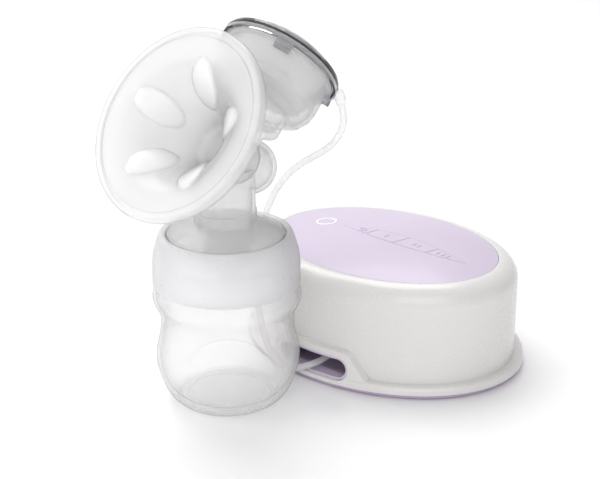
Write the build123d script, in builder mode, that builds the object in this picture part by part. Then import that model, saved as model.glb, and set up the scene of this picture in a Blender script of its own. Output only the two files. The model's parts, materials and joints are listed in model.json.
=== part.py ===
"""Electric breast pump: a pump kit that stands on its bottle in front of an oval motor unit.

Frame: +Z up, -Y towards the front of both halves, +X along the motor unit's long axis.
The origin is the centre of the whole pump's footprint, at the level that it stands on.
"""
from build123d import *
from math import cos, pi, radians, sin, tan
import os

os.makedirs("parts", exist_ok=True)

# ---------------------------------------------------------------- driving dimensions (mm)
kit_x, kit_y = -20.0, -44.5          # the bottle's axis
unit_y = kit_y + 85.0                # the motor unit's centre, on x = 0

# Bottle and screw collar
bottle_wall = 1.6
bottle_floor = 3.2
bottle_top = 70.0
bottle_neck_r = 26.8
collar_r = 31.3
collar_bottom, collar_top = 53.8, 75.8
collar_mouth_r = 25.1
medallion_r = 16.6
medallion_azimuth = -47.0            # degrees: the bottle's face is turned on its thread

# Funnel, its tunnel and the breast cushion
funnel_tilt = 34.0                   # degrees above level
funnel_r = 38.6
funnel_centre = (kit_x, kit_y - 26.5, 128.1)
tunnel_r, tunnel_wall = 11.8, 1.7
tunnel_depth = 50.0                  # from the rim to the centre of the rounded end
cushion_r = 40.6
petal_count = 5
petal_phase = 18.0                   # degrees: direction of the first petal about the funnel's axis

# Diaphragm cup and its cap
cup_tilt = 42.0                      # degrees above level, facing back
cup_top = (kit_x, kit_y + 36.6, 141.9)
cap_r = 27.0
cup_r = 23.9
cup_depth = 24.4
duct_r = 15.2

# Air tube
tube_d = 3.0

# Motor unit
base_a, base_b = 69.0, 54.2          # half axes of the foot flange
wall_a, wall_b = 64.6, 49.8          # half axes of the wall
shell = 2.4
foot_height = 0.8
band_top = 2.6                       # top of the coloured band of the base
flange_top = 6.3
rim_z = 49.7                         # where the lid meets the shoulder
shoulder = 8.5                       # radius of the rounded shoulder
lid_inset = 9.2                      # from the wall to the lid's edge
lid_crown = 3.7
lid_thick = 2.0
window_half, window_low, window_high = 19.0, 4.3, 15.5
drum_a, drum_b, drum_top = 45.0, 30.0, 19.0
chassis_top = 20.8
motor_r = 10.5
shaft_r = 1.0
crank_throw = 2.0
board_z = 43.6


# ---------------------------------------------------------------- helpers
ALONG_X = Vector(1, 0, 0)


def unit_vector(tilt, forward):
    """Direction in the kit's middle plane, `tilt` degrees above level, forward (-Y) or back."""
    side = -1 if forward else 1
    return Vector(0, side * cos(radians(tilt)), sin(radians(tilt)))


def around(direction, turn):
    """Unit vector square to `direction`, `turn` degrees round it from the side nearest +X."""
    side = (ALONG_X - direction * direction.X).normalized()
    return side * cos(radians(turn)) + direction.cross(side) * sin(radians(turn))


def profile_plane(origin, direction, turn=0):
    """Plane whose x is the radius and whose y runs along `direction`."""
    radius_dir = around(direction, turn)
    return Plane(origin=origin, x_dir=radius_dir, z_dir=radius_dir.cross(direction))


def turned(origin, direction, points, mode=Mode.ADD, arc=360, start=0):
    """Turn a closed outline of (radius, height) points into the part being built."""
    with BuildSketch(profile_plane(origin, direction, start)) as outline:
        with BuildLine():
            Polyline(*points, close=True)
        make_face()
    revolve(outline.sketch, axis=Axis(origin, direction), revolution_arc=arc, mode=mode)


def oval(half_a, half_b, low, high, mode=Mode.ADD):
    """Upright oval block of the motor unit."""
    with BuildSketch(Plane((0, unit_y, low))) as outline:
        Ellipse(half_a, half_b)
    extrude(outline.sketch, amount=high - low, mode=mode)


def finish(part, label):
    part.part.label = label
    export_step(part.part, f"parts/{label}.step")
    solids = part.part.solids()
    print(f"{label:22s} {len(solids):3d} solids {part.part.volume / 1000:8.2f} cm3")


UP = Vector(0, 0, 1)
bottle_axis = Vector(kit_x, kit_y, 0)
funnel_dir = unit_vector(funnel_tilt, forward=True)
cup_dir = unit_vector(cup_tilt, forward=False)
funnel_o = Vector(*funnel_centre)
cup_o = Vector(*cup_top)


# ---------------------------------------------------------------- bottle
def bottle_outline(inset, floor, top):
    """Half section of the bottle, `inset` inside its outer wall."""
    with BuildSketch(profile_plane(bottle_axis, UP)) as outline:
        with BuildLine():
            foot = (21.5 - inset * 0.6, floor)
            Line((0, floor), foot)
            Spline(foot, (29.2 - inset, 11.0), (30.9 - inset, 19.5), (29.1 - inset, 30.0), (28.5 - inset, 36.0),
                   (29.3 - inset, 41.5), (31.6 - inset, 48.6), (30.0 - inset, 52.2 - inset * 0.5),
                   (bottle_neck_r - inset, 54.0), tangents=((1.0, 0.55), (-1.0, 0.35)))
            Polyline((bottle_neck_r - inset, 54.0), (bottle_neck_r - inset, top), (0, top), (0, floor))
        make_face()
    return outline.sketch


medallion_dir = Vector(cos(radians(medallion_azimuth)), sin(radians(medallion_azimuth)), 0)
with BuildPart() as medallion:
    revolve(bottle_outline(-0.45, 0.0, bottle_top), axis=Axis(bottle_axis, UP))
    with BuildSketch(Plane(origin=bottle_axis + UP * 22.5 + medallion_dir * 20, z_dir=medallion_dir)):
        Circle(medallion_r)
    extrude(amount=20, mode=Mode.INTERSECT)

with BuildPart() as bottle:
    revolve(bottle_outline(0, 0.0, bottle_top), axis=Axis(bottle_axis, UP))
    add(medallion.part)
    revolve(bottle_outline(bottle_wall, bottle_floor, bottle_top + 1), axis=Axis(bottle_axis, UP),
            mode=Mode.SUBTRACT)
    # The base is hollow underneath, so that it stands on a ring.
    turned(bottle_axis, UP, [(0, -1), (18.5, -1), (18.5, 0), (17.5, 1.0), (0, 1.0)], Mode.SUBTRACT)
finish(bottle, "bottle")


# ---------------------------------------------------------------- screw collar
with BuildPart() as screw_collar:
    with BuildSketch(profile_plane(bottle_axis, UP)) as outline:
        with BuildLine():
            Line((28.0, collar_bottom), (collar_r, collar_bottom))
            Spline((collar_r, collar_bottom), (31.2, 60.0), (30.5, 67.5), (29.0, 72.4), (27.0, collar_top),
                   tangents=((0, 1), (-1, 0.25)))
            Spline((27.0, collar_top), (25.8, 75.6), (collar_mouth_r, 74.6), tangents=((-1, 0.1), (-0.1, -1)))
            Polyline((collar_mouth_r, 74.6), (collar_mouth_r, 72.7), (28.0, 72.7), (28.0, collar_bottom))
        make_face()
    revolve(axis=Axis(bottle_axis, UP))
finish(screw_collar, "screw_collar")


# ---------------------------------------------------------------- pump body
with BuildPart() as pump_body:
    # Flange held by the collar, shallow cone and neck, then the valve seat that hangs in the bottle.
    turned(bottle_axis, UP, [(0, 70.2), (27.6, 70.2), (27.6, 72.3), (24.7, 72.3), (24.7, 75.3),
                             (23.6, 76.2), (13.6, 80.4), (13.2, 81.0), (13.2, 85.4), (12.7, 85.8),
                             (12.7, 104.0), (0, 104.0)])
    turned(bottle_axis, UP, [(0, 62.0), (9.6, 62.0), (9.6, 70.2), (0, 70.2)])
    # Tunnel with its rounded end.
    turned(funnel_o, funnel_dir, [(0, -tunnel_depth), (tunnel_r, -tunnel_depth), (tunnel_r, -23.0),
                                  (0, -23.0)])
    with Locations(funnel_o - funnel_dir * tunnel_depth):
        Sphere(tunnel_r)
    # Bell of the funnel, a trumpet with a broad rim.
    turned(funnel_o, funnel_dir, [(0, -31.8), (tunnel_r, -31.8), (13.1, -28.6), (13.4, -25.2), (14.5, -21.9),
                                  (16.1, -18.2), (18.3, -14.4), (21.2, -10.7), (24.8, -7.2), (28.6, -4.6),
                                  (32.0, -3.4), (36.0, -2.3), (funnel_r, -1.6), (funnel_r, -0.2), (0, -0.2)])
    # Cup, its step and the duct into the tunnel.
    cup_bottom = -cup_depth
    turned(cup_o, cup_dir, [(0, -44.0), (duct_r - 5.5, -44.0), (duct_r - 4.5, -33.5), (duct_r - 0.4, -31.5),
                            (duct_r, -30.8), (duct_r, cup_bottom), (17.5, cup_bottom + 0.3),
                            (21.0, cup_bottom + 2.5), (23.2, cup_bottom + 6.0), (cup_r, cup_bottom + 9.5),
                            (cup_r, -5.2), (25.0, -4.6), (25.0, -3.4), (0, -3.4)])
    # Hollows: neck and valve seat, tunnel, bell, cup and duct.
    turned(bottle_axis, UP, [(0, 60.0), (8.0, 60.0), (8.0, 73.5), (11.2, 77.0), (11.2, 104.0), (0, 104.0)],
           Mode.SUBTRACT)
    turned(bottle_axis, UP, [(11.6, 69.0), (25.2, 69.0), (25.2, 70.9), (22.6, 74.2), (13.0, 78.2),
                             (11.6, 77.6)], Mode.SUBTRACT)
    bore = tunnel_r - tunnel_wall
    turned(funnel_o, funnel_dir, [(0, -tunnel_depth), (bore, -tunnel_depth), (bore, -31.4), (11.6, -28.4),
                                  (11.9, -24.8), (13.0, -21.2), (14.7, -17.4), (17.0, -13.5), (20.0, -9.7),
                                  (23.8, -5.9), (28.0, -3.1), (31.8, -1.9), (36.6, -0.7), (36.6, 0.5),
                                  (0, 0.5)], Mode.SUBTRACT)
    with Locations(funnel_o - funnel_dir * tunnel_depth):
        Sphere(bore, mode=Mode.SUBTRACT)
    turned(cup_o, cup_dir, [(0, -41.0), (7.0, -41.0), (7.0, -31.5), (13.2, -29.0), (13.2, cup_bottom + 1.6),
                            (17.0, cup_bottom + 2.0), (20.2, cup_bottom + 4.0), (22.1, cup_bottom + 8.0),
                            (22.1, 0.0), (0, 0.0)], Mode.SUBTRACT)
finish(pump_body, "pump_body")


# ---------------------------------------------------------------- breast cushion with petals
cushion_sleeve = [(8.6, -44.0), (8.6, -29.4), (9.7, -28.0)]
cushion_bell = [(10.1, -24.0), (11.2, -20.0), (13.0, -16.0), (15.4, -12.0), (18.5, -8.0), (22.4, -4.0),
                (27.0, -1.0), (31.0, 0.3), (35.0, 1.2)]
cushion_lip = [(38.8, 1.9), (cushion_r, 1.2), (cushion_r, -2.4), (39.9, -2.9), (39.0, -2.4), (39.0, 0.05),
               (36.2, -0.1)]
cushion_back = [(31.5, -1.5), (27.7, -2.7), (23.5, -5.5), (19.7, -9.3), (16.7, -13.1), (14.4, -17.0),
                (12.7, -20.8), (11.6, -24.4), (11.2, -27.6), (9.8, -29.8), (9.8, -44.0)]
petal_r, petal_depth, petal_slope = 20.8, 6.0, 46.0
petal_half_width, petal_half_length, petal_height = 6.0, 11.5, 1.9
prism_reach = 7.0                    # how far each leaf outline reaches either side of its plane
skin_overlap = 0.3                   # how deep the petals are rooted in the cushion


def petal_plane(index):
    """Plane on the bell's front skin at one petal: x across it, y out along the slope."""
    turn = petal_phase + index * 360 / petal_count
    across = around(funnel_dir, turn + 90)
    outward = around(funnel_dir, turn)
    slope = radians(petal_slope)
    face_normal = funnel_dir * cos(slope) - outward * sin(slope)
    centre = funnel_o + outward * petal_r - funnel_dir * petal_depth
    return Plane(origin=centre, x_dir=across, z_dir=face_normal)


with BuildPart() as leaf_prisms:
    for index in range(petal_count):
        with BuildSketch(petal_plane(index)) as leaf:
            Ellipse(petal_half_width, petal_half_length)
        extrude(leaf.sketch, amount=prism_reach, both=True)

# A second skin over the bell, raised square to its slope and cut down to the five leaf outlines.
raised = [(radius - petal_height * sin(radians(petal_slope)), height + petal_height * cos(radians(petal_slope)))
          for radius, height in cushion_bell]
sunk = [(radius + skin_overlap, height - skin_overlap) for radius, height in reversed(cushion_bell)]
with BuildPart() as petals:
    turned(funnel_o, funnel_dir, raised + sunk)
    add(leaf_prisms.part, mode=Mode.INTERSECT)

with BuildPart() as massage_cushion:
    turned(funnel_o, funnel_dir, cushion_sleeve + cushion_bell + cushion_lip + cushion_back)
    add(petals.part)
finish(massage_cushion, "massage_cushion")


# ---------------------------------------------------------------- valve
with BuildPart() as valve:
    turned(bottle_axis, UP, [(10.9, 66.0), (10.9, 61.0), (8.8, 60.2), (3.4, 57.4), (3.4, 54.4), (0, 54.4),
                             (0, 55.8), (2.0, 55.8), (2.0, 58.2), (7.2, 61.6), (9.7, 61.9), (9.7, 66.0)])
finish(valve, "valve")


# ---------------------------------------------------------------- diaphragm and cap
fitting_turn = 38.0                  # degrees round the cap from its +X side, towards its low side
fitting_base = cup_o + around(cup_dir, fitting_turn) * (cap_r + 1.0) - cup_dir * 1.2
fitting_dir = Vector(0.33, -0.04, -0.94).normalized()
fitting_length = 4.6

with BuildPart() as diaphragm:
    turned(cup_o, cup_dir, [(0, -9.0), (8.0, -9.0), (9.5, -13.6), (14.0, -17.4), (18.0, -16.4),
                            (20.3, -11.0), (21.6, -3.1), (24.9, -3.1), (24.9, -1.3), (21.0, -1.3),
                            (19.0, -9.4), (16.6, -14.6), (14.2, -15.4), (11.0, -12.6), (9.2, -7.2), (0, -7.2)])
finish(diaphragm, "diaphragm")

with BuildPart() as cap:
    turned(cup_o, cup_dir, [(25.3, -3.3), (cap_r, -3.3), (cap_r, -0.6), (26.2, 0.9), (22.0, 3.4),
                            (14.0, 5.4), (5.0, 6.2), (0, 6.3), (0, 4.7), (5.0, 4.6), (13.6, 3.8),
                            (21.0, 1.9), (25.3, -1.1)])
    # Snap tabs that hook under the cup's flange.
    for tab in range(4):
        turned(cup_o, cup_dir, [(25.6, -2.4), (26.7, -2.4), (26.7, -7.2), (24.3, -7.2), (24.3, -5.6),
                                (25.6, -5.4)], arc=16, start=fitting_turn - 8 + tab * 90)
finish(cap, "cap")

# Barbed fitting pushed into the cap's edge, pointing down along the back.
with BuildPart() as tube_fitting:
    turned(fitting_base, fitting_dir, [(0, 0), (2.4, 0), (2.4, 2.2), (2.1, 2.8), (2.1, fitting_length),
                                       (0, fitting_length)])
    with Locations(fitting_base):
        Sphere(2.4)
finish(tube_fitting, "tube_fitting")


# ---------------------------------------------------------------- air tube, hand-laid route
# From the fitting down behind the bottle, along the floor and up through the window, from the bottle's axis.
tube_route = [(22.9, 46.6, 124.5), (24.9, 46.4, 118.2), (24.2, 45.5, 111.8), (20.4, 44.0, 106.0),
              (13.8, 42.2, 101.2), (5.5, 40.4, 95.5), (-3.0, 39.2, 87.0), (-9.4, 38.6, 76.0),
              (-13.6, 38.1, 64.0),
              (-16.0, 37.4, 51.0), (-16.2, 36.6, 38.0), (-14.3, 35.4, 25.5), (-9.6, 33.4, 14.5),
              (-3.2, 31.2, 6.8), (4.0, 29.4, 3.4), (10.6, 28.3, 4.0), (16.2, 28.6, 6.5), (20.6, 31.6, 8.3),
              (22.3, 36.4, 9.1), (23.6, 40.4, 10.7), (25.9, 43.7, 14.0)]


def tube_along(route, outer_r, bore_r):
    """A tube along straight runs joined by the largest tangent arcs that the runs allow."""
    points = [Vector(*point) for point in route]
    runs = [end - begin for begin, end in zip(points, points[1:])]
    radii = []
    for before, after in zip(runs, runs[1:]):
        half_turn = radians(before.get_angle(after)) / 2
        radii.append(0.45 * min(before.length, after.length) / tan(half_turn))
    path = FilletPolyline(*points, radius=radii, mode=Mode.PRIVATE)
    with BuildPart() as hose:
        with BuildSketch(Plane(origin=points[0], z_dir=runs[0])) as section:
            Circle(outer_r)
            if bore_r:
                Circle(bore_r, mode=Mode.SUBTRACT)
        sweep(section.sketch, path=path)
    expected = pi * (outer_r ** 2 - bore_r ** 2) * path.length
    print(f"  length {path.length:.1f}, radii {min(radii):.1f} to {max(radii):.1f}, "
          f"volume ratio {hose.part.volume / expected:.3f}")
    return hose


tube_points = [Vector(kit_x, kit_y, 0) + Vector(*point) for point in tube_route]
tube_points[0] = fitting_base + fitting_dir * fitting_length
tube_points[1] = tube_points[0] + fitting_dir * 6.4
air_tube = tube_along([tuple(point) for point in tube_points], tube_d / 2, 0)
finish(air_tube, "air_tube")


# ---------------------------------------------------------------- motor unit: crowned top surface
crown_z = rim_z + lid_crown
lid_a, lid_b = wall_a - lid_inset, wall_b - lid_inset
crown_rx = lid_a ** 2 / (2 * lid_crown)
crown_ry = lid_b ** 2 / (2 * lid_crown)
U = Vector(0, unit_y, 0)


def crown_block(lowered, mode=Mode.ADD):
    """Block whose top is the lid's crowned surface, lowered by `lowered`."""
    reach, depth, swing = 46.0, 20.0, 9.0
    pivot = U + UP * (crown_z - crown_rx)
    tilt = radians(-swing)
    plane = Plane(origin=pivot, x_dir=(0, 1, 0), z_dir=(cos(tilt), 0, -sin(tilt)))
    top = crown_rx - lowered
    side = top - reach ** 2 / (2 * crown_ry)
    with BuildSketch(plane) as outline:
        with BuildLine():
            ThreePointArc((-reach, side), (0, top), (reach, side))
            Polyline((reach, side), (reach, top - depth), (-reach, top - depth), (-reach, side))
        make_face()
    revolve(outline.sketch, axis=Axis(pivot, (0, 1, 0)), revolution_arc=2 * swing, mode=mode)


# ---------------------------------------------------------------- housing
jack_z, jack_hole_r, jack_bore_r = 27.0, 5.5, 2.9

with BuildPart() as window_boss:
    with BuildSketch(Plane(origin=U + Vector(0, -46, 0), x_dir=(1, 0, 0), z_dir=(0, -1, 0))) as outline:
        with BuildLine():
            Polyline((-29, band_top), (-27, flange_top), (-18.5, 18.2), (18.5, 18.2), (27, flange_top),
                     (29, band_top), close=True)
        make_face()
        fillet(outline.vertices().group_by(Axis.Y)[-1], 4.5)
    extrude(amount=12)
    oval(base_a - 0.8, base_b - 0.8, band_top, 19.0, Mode.INTERSECT)

with BuildPart() as housing_hollow:
    oval(wall_a - shell, wall_b - shell, band_top, rim_z - shell)
    fillet(housing_hollow.edges().group_by(Axis.Z)[-1], shoulder - shell)

with BuildPart() as housing:
    oval(wall_a, wall_b, band_top, rim_z)
    fillet(housing.edges().group_by(Axis.Z)[-1], shoulder)
    oval(base_a, base_b, band_top, flange_top)
    flange_edges = housing.edges().filter_by(lambda e: abs(e.center().Z - flange_top) < 0.01)
    fillet(flange_edges.sort_by(SortBy.LENGTH)[-1], 1.8)
    add(window_boss.part)
    # Hollow with an even wall, open below for the base and above for the lid.
    add(housing_hollow.part, mode=Mode.SUBTRACT)
    oval(lid_a - 2.4, lid_b - 2.4, rim_z - 6, rim_z + 1, Mode.SUBTRACT)
    oval(lid_a + 0.2, lid_b + 0.2, rim_z - 1.8, rim_z + 1, Mode.SUBTRACT)
    # Window over the tube's storage channel, and the socket's hole at the back.
    with BuildSketch(Plane(origin=U + Vector(0, -40, (window_low + window_high) / 2), x_dir=(1, 0, 0),
                           z_dir=(0, -1, 0))) as slot:
        SlotOverall(2 * window_half, window_high - window_low)
    extrude(slot.sketch, amount=20, mode=Mode.SUBTRACT)
    with Locations(Plane(origin=U + Vector(0, wall_b - 6, jack_z), z_dir=(0, 1, 0))):
        Cylinder(jack_hole_r, 20, mode=Mode.SUBTRACT)
finish(housing, "housing")

with BuildPart() as window_trim:
    with BuildSketch(Plane(origin=U + Vector(0, -47.6, (window_low + window_high) / 2), x_dir=(1, 0, 0),
                           z_dir=(0, -1, 0))) as slot:
        SlotOverall(2 * window_half - 0.2, window_high - window_low - 0.2)
        SlotOverall(2 * window_half - 2.6, window_high - window_low - 2.6, mode=Mode.SUBTRACT)
    extrude(amount=8)
    oval(base_a - 1.4, base_b - 1.4, 0, 20, Mode.INTERSECT)
finish(window_trim, "window_trim")


# ---------------------------------------------------------------- base, feet and screws
post_places = [(x, y) for x in (-30, 30) for y in (-13, 13)]
foot_places = [(x, y) for x in (-44, 44) for y in (-24, 24)]

with BuildPart() as base:
    oval(base_a - 1.4, base_b - 1.4, foot_height, band_top - 0.1)
    oval(wall_a - shell - 0.3, wall_b - shell - 0.3, band_top - 0.1, 5.0)
    oval(wall_a - shell - 2.0, wall_b - shell - 2.0, 3.2, 5.0, Mode.SUBTRACT)
    oval(drum_a, drum_b, 3.0, drum_top)
    oval(drum_a - 2, drum_b - 2, 3.2, drum_top, Mode.SUBTRACT)
    with Locations(*[U + Vector(x, y, 3.0) for x, y in post_places]):
        Cylinder(3.6, drum_top - 3.0, align=(Align.CENTER, Align.CENTER, Align.MIN))
    with Locations(*[U + Vector(x, y, foot_height) for x, y in post_places]):
        Cylinder(3.2, 3.2, align=(Align.CENTER, Align.CENTER, Align.MIN), mode=Mode.SUBTRACT)
        Cylinder(1.6, 30, align=(Align.CENTER, Align.CENTER, Align.MIN), mode=Mode.SUBTRACT)
    with Locations(*[U + Vector(x, y, foot_height) for x, y in foot_places]):
        Cylinder(3.05, 1.0, align=(Align.CENTER, Align.CENTER, Align.MIN), mode=Mode.SUBTRACT)
finish(base, "base")

with BuildPart() as rubber_feet:
    with Locations(*[U + Vector(x, y, 0) for x, y in foot_places]):
        Cylinder(6.0, foot_height, align=(Align.CENTER, Align.CENTER, Align.MIN))
        Cylinder(3.0, foot_height + 0.9, align=(Align.CENTER, Align.CENTER, Align.MIN))
finish(rubber_feet, "rubber_feet")

with BuildPart() as base_screws:
    with Locations(*[U + Vector(x, y, 1.6) for x, y in post_places]):
        Cylinder(2.9, 2.4, align=(Align.CENTER, Align.CENTER, Align.MIN))
        Cylinder(1.5, 19.6, align=(Align.CENTER, Align.CENTER, Align.MIN))
finish(base_screws, "base_screws")


# ---------------------------------------------------------------- chassis
motor_y, motor_z = 10.0, chassis_top + 0.7 + motor_r
motor_back, motor_front = -39.0, -9.0
coil_x, coil_y, coil_r, coil_top = 37.0, 2.0, 7.0, 35.0
cylinder_x = 5.6
cylinder_back, cylinder_front = -8.0, -24.0
union_x, union_y = 7.9, -38.2

with BuildPart() as chassis:
    oval(wall_a - shell - 0.3, wall_b - shell - 0.3, drum_top, chassis_top)
    with Locations(*[U + Vector(x, y, chassis_top) for x, y in post_places]):
        Cylinder(3.2, 4.0, align=(Align.CENTER, Align.CENTER, Align.MIN))
    with Locations(*[U + Vector(x, y, drum_top) for x, y in post_places]):
        Cylinder(1.52, 6.0, align=(Align.CENTER, Align.CENTER, Align.MIN), mode=Mode.SUBTRACT)
    # Cradle ribs under the motor and the pump cylinder.
    for rib_x in (motor_back + 5, motor_front - 5):
        with Locations(U + Vector(rib_x, motor_y, chassis_top)):
            Box(3, 19, motor_z - chassis_top - 1, align=(Align.CENTER, Align.CENTER, Align.MIN))
    with Locations(U + Vector(cylinder_x, cylinder_front + 5, chassis_top)):
        Box(18, 3, motor_z - chassis_top - 1, align=(Align.CENTER, Align.CENTER, Align.MIN))
    with Locations(Plane(origin=U + Vector(0, motor_y, motor_z), z_dir=(1, 0, 0))):
        Cylinder(motor_r + 0.05, 140, mode=Mode.SUBTRACT)
    with Locations(Plane(origin=U + Vector(cylinder_x, -12, motor_z), z_dir=(0, 1, 0))):
        Cylinder(10.05, 26, mode=Mode.SUBTRACT)
    with Locations(U + Vector(union_x, union_y, chassis_top)):
        Cylinder(2.55, 6, mode=Mode.SUBTRACT)
finish(chassis, "chassis")


# ---------------------------------------------------------------- motor, crank and piston pump
motor_o = U + Vector(0, motor_y, motor_z)


def rod_x(radius, start, end, centre=motor_o, mode=Mode.ADD):
    """Round bar along +X, from `start` to `end`."""
    with Locations(Plane(origin=Vector(start, centre.Y, centre.Z), z_dir=(1, 0, 0))):
        Cylinder(radius, end - start, align=(Align.CENTER, Align.CENTER, Align.MIN), mode=mode)


def rod_y(radius, start, end, x, z=motor_z, mode=Mode.ADD):
    """Round bar along Y between two places measured from the unit's centre."""
    with Locations(Plane(origin=U + Vector(x, min(start, end), z), z_dir=(0, 1, 0))):
        Cylinder(radius, abs(end - start), align=(Align.CENTER, Align.CENTER, Align.MIN), mode=mode)


with BuildPart() as motor:
    rod_x(motor_r, motor_back, motor_front)
    fillet(motor.edges().group_by(Axis.X)[-1], 1.2)
    rod_x(3.0, motor_front, motor_front + 1.6)
    rod_x(shaft_r + 0.05, motor_back + 12, motor_front + 2, mode=Mode.SUBTRACT)
finish(motor, "motor")

with BuildPart() as motor_end_bell:
    rod_x(motor_r - 0.6, motor_back - 2.4, motor_back)
    # Two solder tags.
    with Locations(*[motor_o + Vector(motor_back - 3.4, y, 0) for y in (-4, 4)]):
        Box(2.4, 0.6, 3.0)
finish(motor_end_bell, "motor_end_bell")

with BuildPart() as motor_shaft:
    rod_x(shaft_r, motor_back + 13, 2.8)
finish(motor_shaft, "motor_shaft")

pin_o = motor_o + Vector(0, 0, crank_throw)
with BuildPart() as crank_disc:
    rod_x(6.0, 0.0, 3.0)
    fillet(crank_disc.edges(), 0.4)
    rod_x(1.5, 3.0, 9.0, pin_o)
    rod_x(shaft_r, -1.0, 2.8, mode=Mode.SUBTRACT)
finish(crank_disc, "crank_disc")

with BuildPart() as connecting_rod:
    rod_x(8.0, 3.7, 7.5)
    with Locations(U + Vector(cylinder_x, (motor_y - 7 + cylinder_back - 3.8) / 2, motor_z)):
        Box(3.8, motor_y - 7 - cylinder_back + 3.8, 5.0)
    rod_x(6.0, 3.0, 8.0, mode=Mode.SUBTRACT)
finish(connecting_rod, "connecting_rod")

with BuildPart() as piston:
    rod_y(7.95, cylinder_back - 9.0, cylinder_back - 3.8, cylinder_x)
    chamfer(piston.edges(), 0.4)
finish(piston, "piston")

with BuildPart() as pump_cylinder:
    rod_y(10.0, cylinder_front, cylinder_back, cylinder_x)
    rod_y(8.0, cylinder_front - 1, cylinder_back + 1, cylinder_x, mode=Mode.SUBTRACT)
finish(pump_cylinder, "pump_cylinder")

head_face = cylinder_front - 3.4
with BuildPart() as pump_head:
    with Locations(U + Vector(cylinder_x, (cylinder_front + head_face) / 2, motor_z)):
        Box(21, 3.4, 20)
    fillet(pump_head.edges().filter_by(Axis.Y), 3)
    rod_y(1.9, head_face, head_face - 4.0, cylinder_x + 5)
finish(pump_head, "pump_head")


# ---------------------------------------------------------------- release valve
with BuildPart() as valve_coil:
    with Locations(U + Vector(coil_x, coil_y, chassis_top)):
        Cylinder(coil_r, coil_top - chassis_top, align=(Align.CENTER, Align.CENTER, Align.MIN))
        Cylinder(coil_r + 1.0, 1.4, align=(Align.CENTER, Align.CENTER, Align.MIN))
    with Locations(U + Vector(coil_x, coil_y, coil_top - 1.4)):
        Cylinder(coil_r + 1.0, 1.4, align=(Align.CENTER, Align.CENTER, Align.MIN))
    rod_y(1.9, coil_y - coil_r + 1, coil_y - coil_r - 4, coil_x, chassis_top + 4)
    with Locations(U + Vector(coil_x, coil_y, coil_top - 9.0)):
        Cylinder(2.55, 12, align=(Align.CENTER, Align.CENTER, Align.MIN), mode=Mode.SUBTRACT)
finish(valve_coil, "valve_coil")

with BuildPart() as valve_plunger:
    with Locations(U + Vector(coil_x, coil_y, coil_top - 7.0)):
        Cylinder(2.5, 12.6, align=(Align.CENTER, Align.CENTER, Align.MIN))
    with Locations(U + Vector(coil_x, coil_y, coil_top + 4.4)):
        Cylinder(4.4, 1.2, align=(Align.CENTER, Align.CENTER, Align.MIN))
finish(valve_plunger, "valve_plunger")

spring_turns = 3
with BuildPart() as plunger_spring:
    with BuildLine() as coil_line:
        Helix(pitch=3.6 / spring_turns, height=3.6, radius=3.5,
              center=tuple(U + Vector(coil_x, coil_y, coil_top + 0.4)))
    with BuildSketch(Plane(origin=coil_line.line @ 0, z_dir=coil_line.line % 0)) as wire:
        Circle(0.3)
    sweep(wire.sketch, path=coil_line.line, is_frenet=True)
finish(plunger_spring, "plunger_spring")


# ---------------------------------------------------------------- air union and hoses inside
tube_end = tube_points[-1]
tube_end_dir = (tube_points[-1] - tube_points[-2]).normalized()
with BuildPart() as air_union:
    turned(tube_end, tube_end_dir, [(0, 0), (tube_d / 2, 0), (2.0, 0.6), (2.0, 4.0), (0, 4.0)])
    with Locations(U + Vector(union_x, union_y, drum_top - 2.6)):
        Cylinder(2.5, 8.8, align=(Align.CENTER, Align.CENTER, Align.MIN))
    with Locations(U + Vector(union_x, union_y, drum_top - 1.2)):
        Cylinder(4.0, 1.2, align=(Align.CENTER, Align.CENTER, Align.MIN))
    with Locations(U + Vector(union_x, union_y, chassis_top)):
        Cylinder(4.0, 1.2, align=(Align.CENTER, Align.CENTER, Align.MIN))
    rod_x(1.9, union_x, union_x + 5, U + Vector(0, union_y, chassis_top + 3))
finish(air_union, "air_union")

nipple = U + Vector(cylinder_x + 5, head_face - 4.0, motor_z)
riser = U + Vector(union_x, union_y, drum_top + 6.2)
pump_hose = tube_along([tuple(nipple), tuple(nipple + Vector(0, -4.6, 0)),
                        tuple(riser + Vector(0, 0, 5.0)), tuple(riser)], 1.9, 0)
finish(pump_hose, "pump_hose")

side_port = U + Vector(union_x + 5, union_y, chassis_top + 3)
valve_port = U + Vector(coil_x, coil_y - coil_r - 4, chassis_top + 4)
valve_hose = tube_along([tuple(side_port), tuple(side_port + Vector(6.0, 0, 0)),
                         tuple(side_port + Vector(14.0, 7.0, 0.4)), tuple(valve_port + Vector(0, -12.0, 0)),
                         tuple(valve_port)], 1.9, 0)
finish(valve_hose, "valve_hose")


# ---------------------------------------------------------------- power socket
jack_face = wall_b - shell - 1.2
with BuildPart() as power_socket:
    with Locations(U + Vector(0, jack_face - 6.5, jack_z)):
        Box(9.6, 13, 11)
    fillet(power_socket.edges().filter_by(Axis.Y), 1.0)
    rod_y(jack_hole_r + 0.6, jack_face - 1.6, jack_face, 0, jack_z)
    rod_y(jack_bore_r, jack_face - 9.5, jack_face + 1, 0, jack_z, Mode.SUBTRACT)
finish(power_socket, "power_socket")


# ---------------------------------------------------------------- control lid, buttons and board
ring_x, ring_y, ring_outer, ring_inner, power_r = -34.5, 0.0, 4.9, 3.9, 3.65
leaf_start, leaf_end, leaf_half = -24.0, 43.7, 5.0
slit_places = (-7.6, 9.0, 26.2)      # middles of the slanted gaps between the four mode buttons
slit_half, slit_lean = 0.45, 2.2
mode_names = ("stimulation_button", "low_button", "medium_button", "high_button")
button_bottom = 46.4
gap = 0.25


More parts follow.
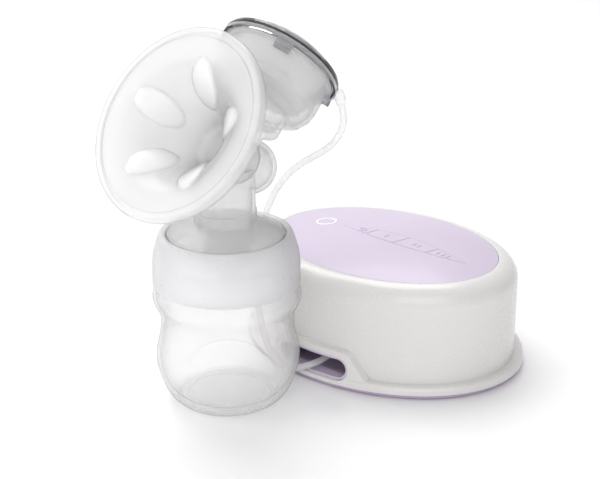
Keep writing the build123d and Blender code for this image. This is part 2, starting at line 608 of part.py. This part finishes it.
def mode_sketch(index, grow):
    """Outline of one mode button: its share of a leaf, between slanted slits, grown by `grow`."""
    start, end, middle = leaf_start - 2 * grow, leaf_end + 2 * grow, (leaf_start + leaf_end) / 2
    left = leaf_start - 8 if index == 0 else slit_places[index - 1] + slit_half - grow
    right = leaf_end + 8 if index == 3 else slit_places[index] - slit_half + grow
    with BuildSketch(Plane(U + UP * button_bottom)) as outline:
        with BuildLine():
            ThreePointArc((start, 0), (middle, leaf_half + grow), (end, 0))
            ThreePointArc((end, 0), (middle, -leaf_half - grow), (start, 0))
        make_face()
        with BuildSketch(mode=Mode.INTERSECT):
            with BuildLine():
                Polyline((left - slit_lean, -8), (right - slit_lean, -8), (right + slit_lean, 8),
                         (left + slit_lean, 8), close=True)
            make_face()
    return outline.sketch


def power_sketch(radius, hole=0):
    with BuildSketch(Plane(U + Vector(ring_x, ring_y, button_bottom))) as outline:
        Circle(radius)
        if hole:
            Circle(hole, mode=Mode.SUBTRACT)
    return outline.sketch


board_posts = [(x, y) for x in (-46, 46) for y in (-5, 5)]
with BuildPart() as lid_hollow:
    oval(lid_a - 2.6, lid_b - 2.6, rim_z - 3, crown_z)
    crown_block(lid_thick, Mode.INTERSECT)

with BuildPart() as control_lid:
    oval(lid_a, lid_b, rim_z - 1.7, crown_z + 1)
    crown_block(0, Mode.INTERSECT)
    add(lid_hollow.part, mode=Mode.SUBTRACT)
    with Locations(*[U + Vector(x, y, board_z + 1.4) for x, y in board_posts]):
        Cylinder(2.3, 5.4, align=(Align.CENTER, Align.CENTER, Align.MIN))
    with Locations(*[U + Vector(x, y, board_z) for x, y in board_posts]):
        Cylinder(0.95, 5.4, align=(Align.CENTER, Align.CENTER, Align.MIN), mode=Mode.SUBTRACT)
    for index in range(4):
        extrude(mode_sketch(index, gap), amount=12, mode=Mode.SUBTRACT)
    extrude(power_sketch(ring_outer + 0.05), amount=12, mode=Mode.SUBTRACT)
finish(control_lid, "control_lid")

for index, name in enumerate(mode_names):
    # Raised drops count the strength; the first button carries one ring.
    left = leaf_start + 6 if index == 0 else slit_places[index - 1]
    right = leaf_end - 6 if index == 3 else slit_places[index]
    middle = (left + right) / 2
    with BuildPart() as marks:
        with BuildSketch(Plane(U + Vector(middle, 0, button_bottom + 2))) as drops:
            if index == 0:
                Circle(1.9)
                Circle(1.3, mode=Mode.SUBTRACT)
            else:
                with GridLocations(2.6, 1, index, 1):
                    Ellipse(0.7, 1.5)
        extrude(drops.sketch, amount=10)
        crown_block(-0.3, Mode.INTERSECT)
    with BuildPart() as mode_button:
        extrude(mode_sketch(index, 0), amount=12)
        crown_block(-0.05, Mode.INTERSECT)
        add(marks.part)
    finish(mode_button, name)

with BuildPart() as power_button:
    extrude(power_sketch(power_r), amount=12)
    crown_block(-0.05, Mode.INTERSECT)
finish(power_button, "power_button")

with BuildPart() as light_ring:
    extrude(power_sketch(ring_outer, ring_inner), amount=12)
    crown_block(-0.15, Mode.INTERSECT)
finish(light_ring, "light_ring")

button_middles = [ring_x, -15.8, 0.7, 17.6, 32.0]
with BuildPart() as control_board:
    with Locations(U + UP * board_z):
        Box(102, 20, 1.4, align=(Align.CENTER, Align.CENTER, Align.MIN))
    fillet(control_board.edges().filter_by(Axis.Z), 4)
    with Locations(*[U + Vector(x, y, board_z) for x, y in board_posts]):
        Cylinder(1.1, 6, mode=Mode.SUBTRACT)
finish(control_board, "control_board")

with BuildPart() as key_switches:
    with Locations(*[U + Vector(x, 0, board_z + 1.4) for x in button_middles]):
        Box(4.5, 4.5, 0.4, align=(Align.CENTER, Align.CENTER, Align.MIN))
        Cylinder(1.4, 0.55, align=(Align.CENTER, Align.CENTER, Align.MIN))
finish(key_switches, "key_switches")

with BuildPart() as indicator_leds:
    with Locations(*[U + Vector(x, 6.5, board_z + 1.4) for x in button_middles]):
        Box(1.8, 1.2, 0.8, align=(Align.CENTER, Align.CENTER, Align.MIN))
finish(indicator_leds, "indicator_leds")

with BuildPart() as board_screws:
    with Locations(*[U + Vector(x, y, board_z - 0.9) for x, y in board_posts]):
        Cylinder(1.8, 0.9, align=(Align.CENTER, Align.CENTER, Align.MIN))
        Cylinder(0.9, 6.0, align=(Align.CENTER, Align.CENTER, Align.MIN))
finish(board_screws, "board_screws")
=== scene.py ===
"""Breast pump beside its motor unit: looks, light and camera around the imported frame.

Lengths are in metres; values given in millimetres are multiplied by MM.
"""

import json
from math import cos, pi, radians, sin, sqrt

import bpy
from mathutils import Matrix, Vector


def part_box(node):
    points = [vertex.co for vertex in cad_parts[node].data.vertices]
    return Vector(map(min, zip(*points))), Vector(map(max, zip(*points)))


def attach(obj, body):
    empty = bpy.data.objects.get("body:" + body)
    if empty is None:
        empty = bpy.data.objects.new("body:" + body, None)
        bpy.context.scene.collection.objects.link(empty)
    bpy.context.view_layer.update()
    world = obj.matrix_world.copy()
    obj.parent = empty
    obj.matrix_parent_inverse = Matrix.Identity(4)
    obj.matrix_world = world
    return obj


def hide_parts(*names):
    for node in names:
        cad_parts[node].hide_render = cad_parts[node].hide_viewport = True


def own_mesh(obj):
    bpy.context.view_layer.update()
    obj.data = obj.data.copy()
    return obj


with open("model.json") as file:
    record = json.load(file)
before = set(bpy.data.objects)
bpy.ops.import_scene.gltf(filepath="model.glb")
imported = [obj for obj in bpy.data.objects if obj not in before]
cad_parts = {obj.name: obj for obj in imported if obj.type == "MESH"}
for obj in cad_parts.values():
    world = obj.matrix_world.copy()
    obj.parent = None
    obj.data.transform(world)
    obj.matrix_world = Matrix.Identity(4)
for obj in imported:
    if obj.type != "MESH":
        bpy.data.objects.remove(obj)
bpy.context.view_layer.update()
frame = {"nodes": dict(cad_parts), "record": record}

MM = 0.001
scene = bpy.context.scene
nodes_by_name = frame["nodes"]
bottle_low, bottle_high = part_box("bottle")
# The foot of the bottle's axis, on the floor.
KIT = Vector(((bottle_low.x + bottle_high.x) / 2, (bottle_low.y + bottle_high.y) / 2, 0))


# ---------------------------------------------------------------- geometry helpers
def tilted(tilt, forward):
    side = -1 if forward else 1
    return Vector((0, side * cos(radians(tilt)), sin(radians(tilt))))


def catmull_rom(before, start, end, after, share):
    """Value at `share` of the way from `start` to `end`, on a curve through all four values."""
    return 0.5 * (2 * start + (end - before) * share
                  + (2 * before - 5 * start + 4 * end - after) * share * share
                  + (3 * start - before - 3 * end + after) * share ** 3)


def smooth_line(points, steps):
    """Points along a Catmull-Rom curve through `points`, with `steps` to each stretch."""
    line = []
    last = len(points) - 1
    for index in range(last):
        before, after = points[max(index - 1, 0)], points[min(index + 2, last)]
        stretch = list(zip(before, points[index], points[index + 1], after))
        for step in range(steps):
            line.append(tuple(catmull_rom(*values, step / steps) for values in stretch))
    line.append(tuple(points[last]))
    return line


def skin_faces(rings, corners, closed=False):
    """Outward faces over `rings` rings of `corners` points: the last ring joins the first if the
    skin is `closed`, and otherwise each end has a cap."""
    faces = []
    for ring in range(rings if closed else rings - 1):
        here, there = ring * corners, (ring + 1) % rings * corners
        for corner in range(corners):
            beside = (corner + 1) % corners
            faces.append((here + corner, there + corner, there + beside, here + beside))
    if not closed:
        faces.append(tuple(range(corners)))
        faces.append(tuple(range(rings * corners - 1, (rings - 1) * corners - 1, -1)))
    return faces


def mesh_piece(name, vertices, faces, material, body):
    """A smooth mesh object that rides on `body` and takes its finish from `material`."""
    mesh = bpy.data.meshes.new(name)
    mesh.from_pydata([tuple(v) for v in vertices], [], faces)
    mesh.validate()
    mesh.update()
    for polygon in mesh.polygons:
        polygon.use_smooth = True
    piece = bpy.data.objects.new(name, mesh)
    scene.collection.objects.link(piece)
    mesh.materials.append(material)
    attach(piece, body)
    return piece


# ---------------------------------------------------------------- materials
NOISE_LOW, NOISE_HIGH = 0.3, 0.7     # the range that most of the noise falls in
# Cells to the metre of the noise in the finishes.
FLOW_MARKS, MILKY_MARKS, RIPPLES, FINE_GRAIN, BRUSH_MARKS = 28, 30, 260, 1400, 900


def link(tree, source, output, target, socket):
    """Join one node's output to another node's input."""
    tree.links.new(source.outputs[output], target.inputs[socket])


def start_material(name, roughness, ior=1.46, **settings):
    """New node material; `settings` are Principled sockets by name, with _ for a space."""
    material = bpy.data.materials.new(name)
    material.use_nodes = True
    tree = material.node_tree
    shader = tree.nodes["Principled BSDF"]
    shader.inputs["Roughness"].default_value = roughness
    shader.inputs["IOR"].default_value = ior
    for key, value in settings.items():
        shader.inputs[key.replace("_", " ")].default_value = value
    return material, tree, shader


def shaded(colour, share):
    """The colour with its brightness multiplied by `share`."""
    return tuple(share * channel for channel in colour)


def noise(tree, scale, detail=2.0, stretch=(1, 1, 1)):
    """Noise in the object's own coordinates, with `scale` cells to the metre."""
    place = tree.nodes.new("ShaderNodeTexCoord")
    mapping = tree.nodes.new("ShaderNodeMapping")
    mapping.inputs["Scale"].default_value = stretch
    texture = tree.nodes.new("ShaderNodeTexNoise")
    texture.inputs["Scale"].default_value = scale
    texture.inputs["Detail"].default_value = detail
    link(tree, place, "Object", mapping, "Vector")
    link(tree, mapping, "Vector", texture, "Vector")
    return texture


def tint(tree, shader, texture, dark, light):
    """Colour that wanders between `dark` and `light` with the noise."""
    ramp = tree.nodes.new("ShaderNodeValToRGB")
    ramp.color_ramp.elements[0].position = NOISE_LOW
    ramp.color_ramp.elements[1].position = NOISE_HIGH
    ramp.color_ramp.elements[0].color = (*dark, 1)
    ramp.color_ramp.elements[1].color = (*light, 1)
    link(tree, texture, "Fac", ramp, "Fac")
    link(tree, ramp, "Color", shader, "Base Color")
    return ramp


def sheen_spread(tree, shader, texture, low, high):
    """Roughness that wanders between `low` and `high` with the noise."""
    spread = tree.nodes.new("ShaderNodeMapRange")
    spread.inputs["From Min"].default_value = NOISE_LOW
    spread.inputs["From Max"].default_value = NOISE_HIGH
    spread.inputs["To Min"].default_value = low
    spread.inputs["To Max"].default_value = high
    link(tree, texture, "Fac", spread, "Value")
    link(tree, spread, "Result", shader, "Roughness")


def relief(tree, shader, texture, strength, depth):
    """Fine surface relief, `depth` metres deep."""
    bump = tree.nodes.new("ShaderNodeBump")
    bump.inputs["Strength"].default_value = strength
    bump.inputs["Distance"].default_value = depth
    link(tree, texture, "Fac", bump, "Height")
    link(tree, bump, "Normal", shader, "Normal")


def absorb(tree, colour, density):
    """Tint that deepens with the thickness that the light crosses."""
    volume = tree.nodes.new("ShaderNodeVolumeAbsorption")
    volume.inputs["Color"].default_value = (*colour, 1)
    volume.inputs["Density"].default_value = density
    link(tree, volume, "Volume", tree.nodes["Material Output"], "Volume")


def moulded(name, dark, light, roughness, grain=FINE_GRAIN, depth=0.006 * MM, coat=0.0):
    """Moulded plastic: faint flow marks in its colour, fine texture in its gloss and relief."""
    material, tree, shader = start_material(name, roughness, Coat_Weight=coat, Coat_Roughness=0.12)
    tint(tree, shader, noise(tree, FLOW_MARKS, detail=3), dark, light)
    fine = noise(tree, grain)
    sheen_spread(tree, shader, fine, low=roughness * 0.88, high=roughness * 1.12)
    relief(tree, shader, fine, strength=0.35, depth=depth)
    return material


def grazing(tree, sharpness):
    """0 where a wall is seen face on, rising to 1 along its edge; sharper means a thinner edge."""
    facing = tree.nodes.new("ShaderNodeLayerWeight")
    facing.inputs["Blend"].default_value = 0.5
    power = tree.nodes.new("ShaderNodeMath")
    power.operation = "POWER"
    power.inputs[1].default_value = sharpness
    link(tree, facing, "Facing", power, 0)
    return power


def edge_opacity(tree, shader, face, edge, sharpness):
    """Opacity of a thin clear wall: low face on, high where the wall is seen along its length."""
    opacity = tree.nodes.new("ShaderNodeMapRange")
    opacity.inputs["To Min"].default_value = face
    opacity.inputs["To Max"].default_value = edge
    link(tree, grazing(tree, sharpness), "Value", opacity, "Value")
    link(tree, opacity, "Result", shader, "Alpha")
    return opacity


def painted_edge_shade(tree, shader, ramp, painted_edge_colour, sharpness):
    """Painted shade on a clear wall: its colour gives way to the darker edge colour where the wall is seen
    along its length, a painted dark outline in place of the dark surroundings seen in and through the wall.
    """
    mix = tree.nodes.new("ShaderNodeMixRGB")
    mix.inputs["Color2"].default_value = (*painted_edge_colour, 1)
    link(tree, grazing(tree, sharpness), "Value", mix, "Fac")
    link(tree, ramp, "Color", mix, "Color1")
    link(tree, mix, "Color", shader, "Base Color")


def thin_clear(name, colour, roughness, face, edge, rim, sharpness, ior=1.45, coat=0.6):
    """Thin clear moulding, slightly milky, under a glossy skin, with a painted dark outline along its edges.

    `face` and `edge` are its opacity seen face on and along a wall, and `rim` is how light its painted edge
    shade is, as a share of its colour.
    """
    material, tree, shader = start_material(name, roughness, ior, Coat_Weight=coat, Coat_Roughness=0.05)
    ramp = tint(tree, shader, noise(tree, MILKY_MARKS), shaded(colour, 0.97), colour)
    fine = noise(tree, RIPPLES)
    sheen_spread(tree, shader, fine, low=roughness * 0.8, high=roughness * 1.2)
    relief(tree, shader, fine, strength=0.25, depth=0.01 * MM)
    edge_opacity(tree, shader, face, edge, sharpness)
    # Painted shade: the colour darkens along the edges of the walls, a painted dark outline.
    painted_edge_shade(tree, shader, ramp, shaded(colour, rim), sharpness)
    return material


def thick_clear(name, colour, roughness, ior, density):
    """Thick clear moulding that bends light; long light paths, as along an edge, look darker."""
    material, tree, shader = start_material(name, roughness, ior, Transmission_Weight=0.95)
    tint(tree, shader, noise(tree, MILKY_MARKS), shaded(colour, 0.97), colour)
    relief(tree, shader, noise(tree, RIPPLES), strength=0.25, depth=0.01 * MM)
    absorb(tree, (0.50, 0.50, 0.52), density)
    return material


def metal(name, colour, roughness, stretch):
    """Brushed or turned metal, with its marks drawn out along `stretch`."""
    material, tree, shader = start_material(name, roughness, Metallic=1.0, Anisotropic=0.4)
    marks = noise(tree, BRUSH_MARKS, detail=4, stretch=stretch)
    tint(tree, shader, marks, shaded(colour, 0.86), colour)
    sheen_spread(tree, shader, marks, low=roughness * 0.7, high=roughness * 1.3)
    relief(tree, shader, marks, strength=0.3, depth=0.02 * MM)
    return material


def silicone(name, thin, thick):
    """Clear silicone, from `thin` to `thick` in opacity as the attribute "pad" goes from 0 to 1."""
    material, tree, shader = start_material(name, roughness=0.20, ior=1.32, Coat_Weight=0.25,
                                            Coat_Roughness=0.10)
    milky = noise(tree, scale=40)
    ramp = tint(tree, shader, milky, dark=(0.83, 0.83, 0.825), light=(0.86, 0.86, 0.855))
    # Painted shade: the colour darkens to near black along the edges of the walls, a painted dark outline.
    painted_edge_shade(tree, shader, ramp, painted_edge_colour=(0.16, 0.16, 0.16), sharpness=2.6)
    pad = tree.nodes.new("ShaderNodeAttribute")
    pad.attribute_name = "pad"
    opacity = tree.nodes.new("ShaderNodeMapRange")
    opacity.inputs["To Min"].default_value = thin
    opacity.inputs["To Max"].default_value = thick
    link(tree, pad, "Fac", opacity, "Value")
    walls = edge_opacity(tree, shader, face=0.0, edge=1.0, sharpness=1.6)
    strongest = tree.nodes.new("ShaderNodeMath")
    strongest.operation = "MAXIMUM"
    link(tree, opacity, "Result", strongest, 0)
    link(tree, walls, "Result", strongest, 1)
    link(tree, strongest, "Value", shader, "Alpha")
    fine = noise(tree, scale=700)
    sheen_spread(tree, shader, fine, low=0.16, high=0.26)
    relief(tree, shader, fine, strength=0.3, depth=0.015 * MM)
    return material


def circuit_board(name):
    """Solder mask with copper tracks showing through as lighter stripes."""
    material, tree, shader = start_material(name, roughness=0.35, Coat_Weight=0.3)
    place = tree.nodes.new("ShaderNodeTexCoord")
    tracks = tree.nodes.new("ShaderNodeTexBrick")
    tracks.inputs["Scale"].default_value = 240
    tracks.inputs["Mortar Size"].default_value = 0.03
    tracks.inputs["Color1"].default_value = (0.02, 0.16, 0.07, 1)
    tracks.inputs["Color2"].default_value = (0.02, 0.19, 0.08, 1)
    tracks.inputs["Mortar"].default_value = (0.08, 0.34, 0.14, 1)
    link(tree, place, "Object", tracks, "Vector")
    link(tree, tracks, "Color", shader, "Base Color")
    relief(tree, shader, noise(tree, scale=900), strength=0.3, depth=0.02 * MM)
    return material


# `rim` sets how dark each clear part's painted edge shade is, as a share of its colour.
MATERIALS = {
    "clear_plastic": thin_clear("clear_plastic", (0.88, 0.875, 0.87), roughness=0.06, face=0.30, edge=0.95,
                                rim=0.12, sharpness=3.4, ior=1.30, coat=0.2),
    "frosted_plastic": thin_clear("frosted_plastic", (0.88, 0.87, 0.885), roughness=0.34, face=0.60,
                                  edge=0.94, rim=0.42, sharpness=2.6, coat=0.1),
    "clear_silicone": silicone("clear_silicone", thin=0.45, thick=0.94),
    "white_silicone": moulded("white_silicone", (0.86, 0.86, 0.86), (0.92, 0.92, 0.92), roughness=0.40),
    "tube_silicone": thin_clear("tube_silicone", (0.90, 0.90, 0.90), roughness=0.22, face=0.35, edge=0.95,
                                rim=0.35, sharpness=2.5),
    "white_plastic": moulded("white_plastic", (0.72, 0.71, 0.695), (0.74, 0.73, 0.715), roughness=0.26,
                             coat=0.25),
    "lilac_plastic": moulded("lilac_plastic", (0.46, 0.37, 0.52), (0.49, 0.40, 0.55), roughness=0.45),
    "lilac_lid": moulded("lilac_lid", (0.59, 0.51, 0.64), (0.62, 0.54, 0.67), roughness=0.32, coat=0.15),
    "foot_rubber": moulded("foot_rubber", (0.07, 0.07, 0.075), (0.10, 0.10, 0.105), roughness=0.75,
                           grain=900, depth=0.05 * MM),
    "steel": metal("steel", (0.62, 0.62, 0.63), roughness=0.28, stretch=(1, 0.06, 1)),
    "black_plastic": moulded("black_plastic", (0.018, 0.018, 0.02), (0.03, 0.03, 0.032), roughness=0.42),
    "aluminium": metal("aluminium", (0.80, 0.80, 0.81), roughness=0.24, stretch=(1, 1, 0.06)),
    "light_diffuser": moulded("light_diffuser", (0.93, 0.92, 0.95), (0.97, 0.96, 0.99), roughness=0.30),
    "circuit_board": circuit_board("circuit_board"),
}
# The bottle is clearer than the pump body; the cap is moulded thicker and glossier.
# The bottle's low `rim` paints its edges nearly black, a painted dark outline.
BOTTLE_CLEAR = thin_clear("bottle_clear", (0.90, 0.895, 0.89), roughness=0.05, face=0.20, edge=0.97,
                          rim=0.08, sharpness=3.6, ior=1.22, coat=0.12)
GLOSSY_CLEAR = thick_clear("glossy_clear", (0.95, 0.95, 0.955), roughness=0.03, ior=1.38, density=260)

slot_of = {part["node"]: part["material_slot"] for part in frame["record"]["subparts"]}
for node_name, node in nodes_by_name.items():
    node.data.materials.clear()
    node.data.materials.append(MATERIALS[slot_of[node_name]])
nodes_by_name["bottle"].data.materials[0] = BOTTLE_CLEAR
nodes_by_name["cap"].data.materials[0] = GLOSSY_CLEAR


# ---------------------------------------------------------------- air tube
TUBE_D = 3.0 * MM
# In mm from KIT: from the cap's fitting down behind the bottle, along the floor and into the window.
TUBE_ROUTE = [(23.586, 47.058, 123.949), (25.704, 46.801, 117.915), (24.2, 45.5, 111.8), (20.4, 44.0, 106.0),
              (13.8, 42.2, 101.2), (5.5, 40.4, 95.5), (-3.0, 39.2, 87.0), (-9.4, 38.6, 76.0),
              (-13.6, 38.1, 64.0), (-16.0, 37.4, 51.0), (-16.2, 36.6, 38.0), (-14.3, 35.4, 25.5),
              (-9.6, 33.4, 14.5), (-3.2, 31.2, 6.8), (4.0, 29.4, 3.4), (10.6, 28.3, 4.0), (16.2, 28.6, 6.5),
              (20.6, 31.6, 8.3), (22.3, 36.4, 9.1), (23.6, 40.4, 10.7), (25.9, 43.7, 14.0)]


def make_tube():
    """Free air tube as one open NURBS spline with a round section."""
    curve = bpy.data.curves.new("air_tube_run", "CURVE")
    curve.dimensions = "3D"
    curve.bevel_depth = TUBE_D / 2
    curve.bevel_resolution = 8
    curve.resolution_u = 12
    spline = curve.splines.new("NURBS")
    spline.points.add(len(TUBE_ROUTE) - 1)
    for point, place in zip(spline.points, TUBE_ROUTE):
        point.co = (*(KIT + Vector(place) * MM), 1)
    spline.order_u = 3
    spline.use_endpoint_u = True
    tube = bpy.data.objects.new("air_tube_run", curve)
    scene.collection.objects.link(tube)
    curve.materials.append(MATERIALS["tube_silicone"])
    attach(tube, "root")
    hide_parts("air_tube")


make_tube()


# ---------------------------------------------------------------- camera
LENS_MM, SENSOR_MM = 84, 36
CAMERA_PLACE = Vector((374.2, -397.8, 284.6))    # mm from KIT
CAMERA_TILT, CAMERA_TURN = 68.68, 40             # degrees up from straight down, and about the vertical

camera_data = bpy.data.cameras.new("camera")
camera_data.lens = LENS_MM
camera_data.sensor_width = SENSOR_MM
camera_data.clip_start = 0.01
camera = bpy.data.objects.new("camera", camera_data)
camera.location = KIT + CAMERA_PLACE * MM
camera.rotation_euler = (radians(CAMERA_TILT), 0, radians(CAMERA_TURN))
scene.collection.objects.link(camera)
scene.camera = camera


# ---------------------------------------------------------------- breast cushion
FUNNEL_TILT = 34.0
FUNNEL_CENTRE = KIT + Vector((0, -26.5, 128.1)) * MM
PETALS, PETAL_PHASE = 5, 18.0
# A petal's middle in mm from the funnel's axis and behind the rim, and its slope to the rim's plane.
PETAL_R, PETAL_DEPTH, PETAL_SLOPE = 20.8, 8.5, 45.0
PETAL_HALF_WIDTH, PETAL_HALF_LENGTH, PETAL_HEIGHT = 6.2, 11.6, 1.7
PETAL_TAPER = 0.16                   # how much wider a petal is at its outer end
PAD_GAIN = 1.6                       # how soon a petal turns milky, in from its edge
AROUND_STEPS, FRONT_STEPS, BACK_STEPS = 320, 8, 5
# Half section in mm as (radius, height): the front skin from the sleeve's end to the lip, then the back.
CUSHION_FRONT = [(8.6, -44.0), (8.6, -36.0), (8.8, -31.0), (9.7, -28.0), (10.1, -24.0), (11.2, -20.0),
                 (13.0, -16.0), (15.4, -12.0), (18.5, -8.0), (22.4, -4.0), (27.0, -1.0), (31.0, 0.3),
                 (35.0, 1.0), (36.4, 1.15), (36.8, 1.55), (37.6, 1.9), (39.0, 1.9), (40.2, 1.3), (40.7, 0.2)]
CUSHION_BACK = [(40.6, -1.4), (40.2, -2.6), (39.4, -2.7), (39.05, -1.8), (38.9, -0.1), (37.4, 0.0),
                (35.4, -0.3), (31.5, -1.3), (27.7, -2.5), (23.5, -5.4), (19.7, -9.2), (16.6, -13.0),
                (14.3, -17.0), (12.6, -20.8), (11.5, -24.4), (11.1, -27.6), (9.8, -30.0), (9.8, -44.0)]


def petal_cover(radius, height, angle):
    """Height share (0 to 1) of the domed petals at a place on the bell."""
    slope = radians(PETAL_SLOPE)
    along = (radius - PETAL_R) * cos(slope) + (height + PETAL_DEPTH) * sin(slope)
    best = 0.0
    for index in range(PETALS):
        middle = radians(PETAL_PHASE + index * 360 / PETALS)
        across = radius * sin((angle - middle + pi) % (2 * pi) - pi)
        if cos(angle - middle) < 0:
            continue
        half_width = PETAL_HALF_WIDTH * (1 + PETAL_TAPER * along / PETAL_HALF_LENGTH)
        far = (across / half_width) ** 2 + (along / PETAL_HALF_LENGTH) ** 2
        if far < 1:
            best = max(best, (1 - far) ** 0.5)
    return best


def make_cushion():
    """Silicone cushion: bell, lip and sleeve in one skin, with five domed petals."""
    front = smooth_line(CUSHION_FRONT, FRONT_STEPS)
    outline = front + smooth_line(CUSHION_BACK, BACK_STEPS)
    axis = tilted(FUNNEL_TILT, forward=True)
    right = Vector((1, 0, 0))
    up = axis.cross(right)
    vertices, pads = [], []
    for index, (radius, height) in enumerate(outline):
        before, after = outline[index - 1], outline[(index + 1) % len(outline)]
        run, rise = after[0] - before[0], after[1] - before[1]
        size = sqrt(run * run + rise * rise)
        for step in range(AROUND_STEPS):
            angle = 2 * pi * step / AROUND_STEPS
            cover = petal_cover(radius, height, angle) if index < len(front) else 0.0
            lift = PETAL_HEIGHT * cover
            outer, ahead = radius - lift * rise / size, height + lift * run / size
            spoke = right * cos(angle) + up * sin(angle)
            vertices.append(FUNNEL_CENTRE + (spoke * outer + axis * ahead) * MM)
            pads.append(min(1.0, cover * PAD_GAIN))
    faces = skin_faces(len(outline), AROUND_STEPS, closed=True)
    cushion = mesh_piece("breast_cushion", vertices, faces, MATERIALS["clear_silicone"], "root")
    attribute = cushion.data.attributes.new("pad", "FLOAT", "POINT")
    attribute.data.foreach_set("value", pads)
    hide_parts("massage_cushion")


make_cushion()


# ---------------------------------------------------------------- bottle thread
THREAD_PITCH, THREAD_TURNS = 4.5, 1.6
THREAD_ROOT_R, THREAD_TIP_R = 26.5, 27.45
THREAD_START_Z, THREAD_HALF_HEIGHT = 59.5, 0.95
THREAD_FADE = 14                     # each end fades in over 1/14 of its length
THREAD_FULLNESS = 0.7                # below 1, its section is fuller than a half circle
THREAD_STEPS, THREAD_CORNERS = 220, 8


def make_bottle_thread():
    """Rounded ridge that winds up round the bottle's neck and fades out at both ends."""
    vertices = []
    for index in range(THREAD_STEPS + 1):
        share = index / THREAD_STEPS
        angle = 2 * pi * THREAD_TURNS * share
        height = THREAD_START_Z + THREAD_PITCH * THREAD_TURNS * share
        fade = min(1.0, share * THREAD_FADE, (1 - share) * THREAD_FADE)
        for corner in range(THREAD_CORNERS):
            turn = pi * corner / (THREAD_CORNERS - 1)
            radius = THREAD_ROOT_R + (THREAD_TIP_R - THREAD_ROOT_R) * fade * sin(turn) ** THREAD_FULLNESS
            rise = -THREAD_HALF_HEIGHT * cos(turn)
            vertices.append(KIT + Vector((radius * cos(angle), radius * sin(angle), height + rise)) * MM)
    faces = skin_faces(THREAD_STEPS + 1, THREAD_CORNERS)
    mesh_piece("bottle_thread_ridge", vertices, faces, BOTTLE_CLEAR, "bottle")


make_bottle_thread()


# ---------------------------------------------------------------- release valve's spring
SPRING_TURNS, FLAT_TURNS = 3, 0.5    # turns that rise, and the flat part at each end
SPRING_R, WIRE_R = 3.5, 0.3
STEPS_TO_A_TURN, WIRE_CORNERS = 60, 10


def make_plunger_spring():
    """Coil spring under the plunger's head, flat at both ends and squashed by the plunger."""
    low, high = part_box("plunger_spring")
    middle = (low + high) / 2
    foot = Vector((middle.x, middle.y, low.z))
    free = (high.z - low.z) / MM - 2 * WIRE_R
    all_turns = SPRING_TURNS + 2 * FLAT_TURNS
    steps = round(STEPS_TO_A_TURN * all_turns)
    vertices = []
    for index in range(steps + 1):
        turns = index / steps * all_turns
        angle = 2 * pi * turns
        share = min(1.0, max(0.0, (turns - FLAT_TURNS) / SPRING_TURNS))
        place = Vector((SPRING_R * cos(angle), SPRING_R * sin(angle), WIRE_R + free * share))
        outward = Vector((place.x, place.y, 0)).normalized()
        for corner in range(WIRE_CORNERS):
            turn = 2 * pi * corner / WIRE_CORNERS
            offset = outward * cos(turn) * WIRE_R + Vector((0, 0, sin(turn) * WIRE_R))
            vertices.append(foot + (place + offset) * MM)
    faces = skin_faces(steps + 1, WIRE_CORNERS)
    spring = mesh_piece("valve_spring_coil", vertices, faces, MATERIALS["steel"], "root")
    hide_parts("plunger_spring")
    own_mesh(spring)


make_plunger_spring()


# ---------------------------------------------------------------- floor, light and world
DIM_SIDE = (0.77, 0.64, 0)           # towards the camera's right
WORLD_BRIGHT, WORLD_DIM = 1.22, 0.55
FLOOR_REACH = 9.0                    # from the middle to an edge


def make_floor():
    """Pale glossy floor that reaches far behind the object."""
    mesh = bpy.data.meshes.new("floor")
    corners = [(x * FLOOR_REACH, y * FLOOR_REACH, 0) for x, y in ((-1, -1), (1, -1), (1, 1), (-1, 1))]
    mesh.from_pydata(corners, [], [(0, 1, 2, 3)])
    floor = bpy.data.objects.new("floor", mesh)
    scene.collection.objects.link(floor)
    material, tree, shader = start_material("floor_sweep", roughness=0.16, ior=1.40)
    texture = noise(tree, scale=3)
    tint(tree, shader, texture, dark=(0.965, 0.96, 0.965), light=(0.975, 0.97, 0.975))
    sheen_spread(tree, shader, texture, low=0.14, high=0.20)
    mesh.materials.append(material)


def area_light(name, place, target, size, power):
    """White rectangular lamp of `power` watts at `place`, turned to face `target`."""
    data = bpy.data.lights.new(name, "AREA")
    data.shape = "RECTANGLE"
    data.size, data.size_y = size
    data.energy = power
    light = bpy.data.objects.new(name, data)
    light.location = place
    light.rotation_euler = (Vector(target) - Vector(place)).to_track_quat("-Z", "Y").to_euler()
    scene.collection.objects.link(light)


def make_world():
    """Soft studio: bright all round at the horizon, dimmer overhead and dimmest on the far right."""
    world = bpy.data.worlds.new("studio")
    scene.world = world
    world.use_nodes = True
    tree = world.node_tree
    place = tree.nodes.new("ShaderNodeTexCoord")
    split = tree.nodes.new("ShaderNodeSeparateXYZ")
    ramp = tree.nodes.new("ShaderNodeValToRGB")
    ramp.color_ramp.elements[0].position = 0.0
    ramp.color_ramp.elements[0].color = (1.0, 1.0, 1.0, 1)
    ramp.color_ramp.elements[1].position = 0.7
    ramp.color_ramp.elements[1].color = (0.45, 0.45, 0.46, 1)
    side = tree.nodes.new("ShaderNodeVectorMath")
    side.operation = "DOT_PRODUCT"
    side.inputs[1].default_value = DIM_SIDE
    share = tree.nodes.new("ShaderNodeMapRange")
    share.inputs["From Min"].default_value = -0.3
    share.inputs["To Min"].default_value = WORLD_BRIGHT
    share.inputs["To Max"].default_value = WORLD_DIM
    background = tree.nodes["Background"]
    link(tree, place, "Generated", split, "Vector")
    link(tree, place, "Generated", side, 0)
    link(tree, split, "Z", ramp, "Fac")
    link(tree, side, "Value", share, "Value")
    link(tree, ramp, "Color", background, "Color")
    link(tree, share, "Result", background, "Strength")


make_floor()
make_world()
area_light("key", (-0.55, 0.35, 1.10), target=(0, 0, 0.05), size=(1.1, 0.9), power=11)
area_light("fill", (0.75, -0.75, 0.75), target=(0, 0, 0.06), size=(0.9, 0.9), power=5)
area_light("front", (-0.6, -0.8, 0.55), target=(0, 0, 0.08), size=(0.5, 0.8), power=3)

scene.view_settings.view_transform = "Standard"
scene.cycles.max_bounces = 24
scene.cycles.transmission_bounces = 24
scene.cycles.transparent_max_bounces = 40
